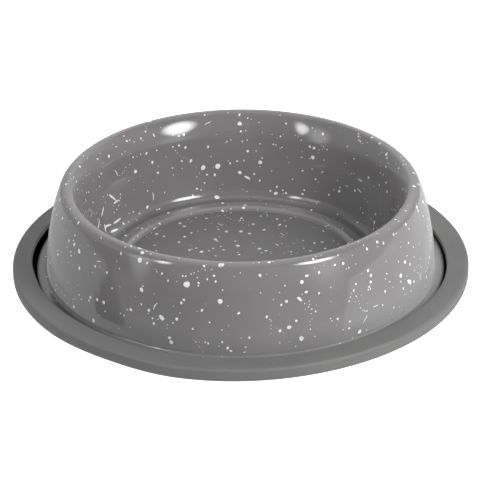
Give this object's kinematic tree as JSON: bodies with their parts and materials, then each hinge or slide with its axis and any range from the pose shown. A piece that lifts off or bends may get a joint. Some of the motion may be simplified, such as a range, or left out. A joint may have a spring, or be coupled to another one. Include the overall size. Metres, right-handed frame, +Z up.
{
  "type": "pet bowl",
  "caption": "Low non-tip pet food bowl: a coated one-sheet steel bowl with bulging skirt and out-turned foot, gripped all round by a grey rubber non-slip ring.",
  "frame": {"origin": "on the table, on the bowl's axis, under the middle of the ring's flat base", "axes": "+Z up along the bowl's axis; X and Y are any two level directions, because both pieces are turned"},
  "size_m": [0.244, 0.244, 0.0515],
  "materials": {
    "speckled_coat": "glossy mid-grey coat with white specks on stainless steel sheet",
    "grey_rubber": "matte moulded grey rubber"
  },
  "bodies": {
    "root": {"steel_bowl": "speckled_coat", "rubber_ring": "grey_rubber"}
  },
  "joints": []
}
